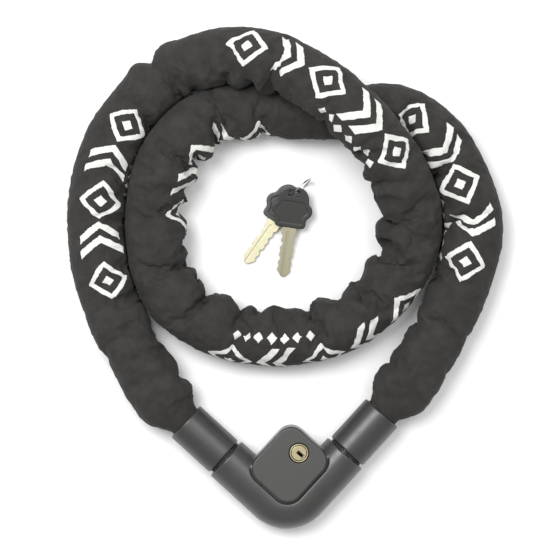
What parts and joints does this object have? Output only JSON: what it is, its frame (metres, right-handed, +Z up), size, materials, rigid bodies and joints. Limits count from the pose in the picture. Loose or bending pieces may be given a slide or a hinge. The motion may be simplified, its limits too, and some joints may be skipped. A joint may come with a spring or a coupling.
{
  "type": "chain lock",
  "caption": "Key-operated chain lock: V-shaped lock body with a raised key cylinder, fabric-covered chain with collared ends, and keys on a ring.",
  "frame": {"origin": "middle of the lock body's flat base, on the table", "axes": "+Z up from the table; +Y along the lock body's symmetry axis, from the elbow towards the chain; +X towards the arm that opens"},
  "size_m": [0.2519, 0.2921, 0.062],
  "materials": {
    "housing_plastic": "moulded, fine satin texture",
    "sleeve_fabric": "woven nylon, cross ribbed, with white woven-in motifs",
    "seal_rubber": "matt",
    "hardened_steel": "hardened and zinc plated",
    "plated_steel": "zinc plated",
    "cylinder_brass": "turned, pale, satin",
    "key_plastic": "moulded, satin",
    "key_nickel": "nickel plated brass, satin",
    "ring_steel": "nickel plated wire"
  },
  "bodies": {
    "chain": {"fabric_sleeve": "sleeve_fabric", "chain_link_05": "hardened_steel", "chain_link_06": "hardened_steel", "chain_link_07": "hardened_steel", "chain_link_08": "hardened_steel", "chain_link_09": "hardened_steel", "chain_link_10": "hardened_steel", "chain_link_11": "hardened_steel", "chain_link_12": "hardened_steel", "chain_link_13": "hardened_steel", "chain_link_14": "hardened_steel", "chain_link_15": "hardened_steel", "chain_link_16": "hardened_steel", "chain_link_17": "hardened_steel", "chain_link_18": "hardened_steel", "chain_link_19": "hardened_steel", "chain_link_20": "hardened_steel", "chain_link_21": "hardened_steel", "chain_link_22": "hardened_steel", "chain_link_23": "hardened_steel", "chain_link_24": "hardened_steel", "chain_link_25": "hardened_steel", "chain_link_26": "hardened_steel", "chain_link_27": "hardened_steel", "chain_link_28": "hardened_steel", "chain_link_29": "hardened_steel", "chain_link_30": "hardened_steel", "right_rivet": "hardened_steel", "locking_pin": "hardened_steel", "right_ferrule": "housing_plastic", "right_seal_ring": "seal_rubber"},
    "bend_link": {"chain_link_04": "hardened_steel"},
    "lock_body": {"housing_lower_shell": "housing_plastic", "housing_upper_shell": "housing_plastic", "cylinder_cover": "housing_plastic", "steel_core": "hardened_steel", "cylinder_body": "cylinder_brass", "shell_screw_1": "plated_steel", "shell_screw_2": "plated_steel", "anchor_pin": "hardened_steel", "left_rivet": "hardened_steel", "left_ferrule": "housing_plastic", "left_seal_ring": "seal_rubber", "chain_link_01": "hardened_steel", "chain_link_02": "hardened_steel", "chain_link_03": "hardened_steel"},
    "plug": {"cylinder_plug": "cylinder_brass", "plug_clip": "plated_steel", "plug_cam": "plated_steel", "wafer_1": "cylinder_brass", "wafer_2": "cylinder_brass", "wafer_3": "cylinder_brass", "wafer_4": "cylinder_brass"},
    "latch": {"latch_bolt": "hardened_steel"},
    "key_ring": {"key_ring": "ring_steel"},
    "key_front": {"key_front_head": "key_plastic", "key_front_blade": "key_nickel"},
    "key_rear": {"key_rear_head": "key_plastic", "key_rear_blade": "key_nickel"}
  },
  "joints": [
    {"name": "lock_opening", "type": "hinge", "parent": "bend_link", "child": "lock_body", "pos_m": [-0.101, 0.107, 0.0152], "axis": [0, 0, -1], "range_deg": [0, 5], "deforming": ["fabric_sleeve"]},
    {"name": "chain_bend", "type": "hinge", "parent": "chain", "child": "bend_link", "pos_m": [-0.10534, 0.14293, 0.0152], "axis": [0, 0, -1], "range_deg": [0, 5], "deforming": ["fabric_sleeve"]},
    {"name": "plug_turn", "type": "hinge", "parent": "lock_body", "child": "plug", "pos_m": [0.00792, 0.00705, 0.015], "axis": [0, 0, -1], "range_deg": [0, 90]},
    {"name": "latch_slide", "type": "slide", "parent": "lock_body", "child": "latch", "axis": [0.7071, -0.7071, 0], "range_m": [0, 0.003]},
    {"name": "keys_lift", "type": "slide", "parent": "chain", "child": "key_ring", "axis": [0, 0, 1], "range_m": [0, 0.12]},
    {"name": "key_front_swivel", "type": "hinge", "parent": "key_ring", "child": "key_front", "pos_m": [0.012, 0.1585, 0.0101], "axis": [-0.0329, -0.174, 0.9842], "range_deg": [0, 60]},
    {"name": "key_rear_swivel", "type": "hinge", "parent": "key_ring", "child": "key_rear", "pos_m": [0.012, 0.1585, 0.0039], "axis": [-0.0352, -0.0455, 0.9983], "range_deg": [-60, 0]}
  ],
  "couplings": [
    {"joint": "chain_bend", "follows": "lock_opening", "ratio": 1},
    {"joint": "plug_turn", "follows": "latch_slide", "rad_per_m": 523.59}
  ]
}
